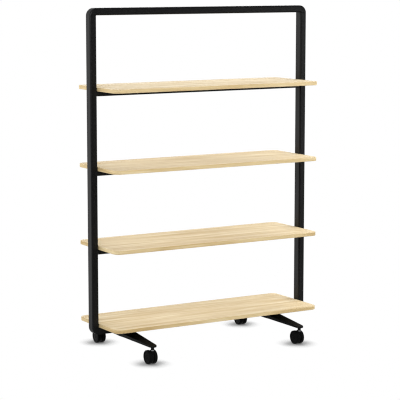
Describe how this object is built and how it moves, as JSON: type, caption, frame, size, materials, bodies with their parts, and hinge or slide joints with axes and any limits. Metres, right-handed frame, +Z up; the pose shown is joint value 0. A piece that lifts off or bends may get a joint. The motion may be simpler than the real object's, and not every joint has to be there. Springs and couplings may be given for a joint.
{
  "type": "mobile shelving unit",
  "caption": "Mobile shelving unit: wooden shelves carried across a black rounded-tube ring frame that stands on sloping cast feet with twin-wheel swivel casters.",
  "frame": {"origin": "on the floor under the middle of the bounding box", "axes": "+X to the right along the shelves, +Y to the back, the way the casters trail, +Z up"},
  "size_m": [1.279, 0.6295, 1.751],
  "materials": {
    "frame_coat": "fine matt black powder coat",
    "shelf_wood": "pale oak, clear matt lacquer, grain along the length",
    "bare_steel": "plain zinc-plated steel",
    "bright_zinc": "bright zinc plate",
    "caster_plastic": "moulded black plastic, slightly satin",
    "tread_rubber": "black soft tread, matt",
    "nylon": "black nylon, matt"
  },
  "bodies": {
    "frame": {"left_post": "frame_coat", "right_post": "frame_coat", "top_rail": "frame_coat", "bottom_rail": "frame_coat", "corner_top_left": "frame_coat", "corner_top_right": "frame_coat", "corner_bottom_left": "frame_coat", "corner_bottom_right": "frame_coat", "top_shelf_bar": "frame_coat", "upper_shelf_bar": "frame_coat", "lower_shelf_bar": "frame_coat", "left_foot": "frame_coat", "right_foot": "frame_coat", "top_shelf": "shelf_wood", "upper_shelf": "shelf_wood", "lower_shelf": "shelf_wood", "bottom_shelf": "shelf_wood", "bar_sockets": "bare_steel", "bar_bolts": "bare_steel", "post_nut_plates": "bare_steel", "shelf_screws": "bare_steel", "foot_bolts": "bare_steel", "rail_nut_plates": "bare_steel", "stem_grip_rings": "bare_steel", "top_cross_plates": "frame_coat", "upper_cross_plates": "frame_coat", "lower_cross_plates": "frame_coat", "bottom_cross_plates": "frame_coat", "swivel_washers": "nylon", "front_left_stem": "bright_zinc", "front_right_stem": "bright_zinc", "rear_left_stem": "bright_zinc", "rear_right_stem": "bright_zinc"},
    "caster_front_left": {"front_left_housing": "caster_plastic", "front_left_axle": "bare_steel"},
    "wheel_front_left_a": {"front_left_wheel_a": "caster_plastic", "front_left_tread_a": "tread_rubber"},
    "wheel_front_left_b": {"front_left_wheel_b": "caster_plastic", "front_left_tread_b": "tread_rubber"},
    "caster_front_right": {"front_right_housing": "caster_plastic", "front_right_axle": "bare_steel"},
    "wheel_front_right_a": {"front_right_wheel_a": "caster_plastic", "front_right_tread_a": "tread_rubber"},
    "wheel_front_right_b": {"front_right_wheel_b": "caster_plastic", "front_right_tread_b": "tread_rubber"},
    "caster_rear_left": {"rear_left_housing": "caster_plastic", "rear_left_axle": "bare_steel"},
    "wheel_rear_left_a": {"rear_left_wheel_a": "caster_plastic", "rear_left_tread_a": "tread_rubber"},
    "wheel_rear_left_b": {"rear_left_wheel_b": "caster_plastic", "rear_left_tread_b": "tread_rubber"},
    "caster_rear_right": {"rear_right_housing": "caster_plastic", "rear_right_axle": "bare_steel"},
    "wheel_rear_right_a": {"rear_right_wheel_a": "caster_plastic", "rear_right_tread_a": "tread_rubber"},
    "wheel_rear_right_b": {"rear_right_wheel_b": "caster_plastic", "rear_right_tread_b": "tread_rubber"}
  },
  "joints": [
    {"name": "swivel_front_left", "type": "hinge", "parent": "frame", "child": "caster_front_left", "pos_m": [-0.438, -0.294, 0.05], "axis": [0, 0, 1], "continuous": true},
    {"name": "roll_front_left_a", "type": "hinge", "parent": "caster_front_left", "child": "wheel_front_left_a", "pos_m": [-0.438, -0.274, 0.035], "axis": [1, 0, 0], "continuous": true},
    {"name": "roll_front_left_b", "type": "hinge", "parent": "caster_front_left", "child": "wheel_front_left_b", "pos_m": [-0.438, -0.274, 0.035], "axis": [1, 0, 0], "continuous": true},
    {"name": "swivel_front_right", "type": "hinge", "parent": "frame", "child": "caster_front_right", "pos_m": [0.438, -0.294, 0.05], "axis": [0, 0, 1], "continuous": true},
    {"name": "roll_front_right_a", "type": "hinge", "parent": "caster_front_right", "child": "wheel_front_right_a", "pos_m": [0.438, -0.274, 0.035], "axis": [1, 0, 0], "continuous": true},
    {"name": "roll_front_right_b", "type": "hinge", "parent": "caster_front_right", "child": "wheel_front_right_b", "pos_m": [0.438, -0.274, 0.035], "axis": [1, 0, 0], "continuous": true},
    {"name": "swivel_rear_left", "type": "hinge", "parent": "frame", "child": "caster_rear_left", "pos_m": [-0.438, 0.26, 0.05], "axis": [0, 0, 1], "continuous": true},
    {"name": "roll_rear_left_a", "type": "hinge", "parent": "caster_rear_left", "child": "wheel_rear_left_a", "pos_m": [-0.438, 0.28, 0.035], "axis": [1, 0, 0], "continuous": true},
    {"name": "roll_rear_left_b", "type": "hinge", "parent": "caster_rear_left", "child": "wheel_rear_left_b", "pos_m": [-0.438, 0.28, 0.035], "axis": [1, 0, 0], "continuous": true},
    {"name": "swivel_rear_right", "type": "hinge", "parent": "frame", "child": "caster_rear_right", "pos_m": [0.438, 0.26, 0.05], "axis": [0, 0, 1], "continuous": true},
    {"name": "roll_rear_right_a", "type": "hinge", "parent": "caster_rear_right", "child": "wheel_rear_right_a", "pos_m": [0.438, 0.28, 0.035], "axis": [1, 0, 0], "continuous": true},
    {"name": "roll_rear_right_b", "type": "hinge", "parent": "caster_rear_right", "child": "wheel_rear_right_b", "pos_m": [0.438, 0.28, 0.035], "axis": [1, 0, 0], "continuous": true}
  ]
}
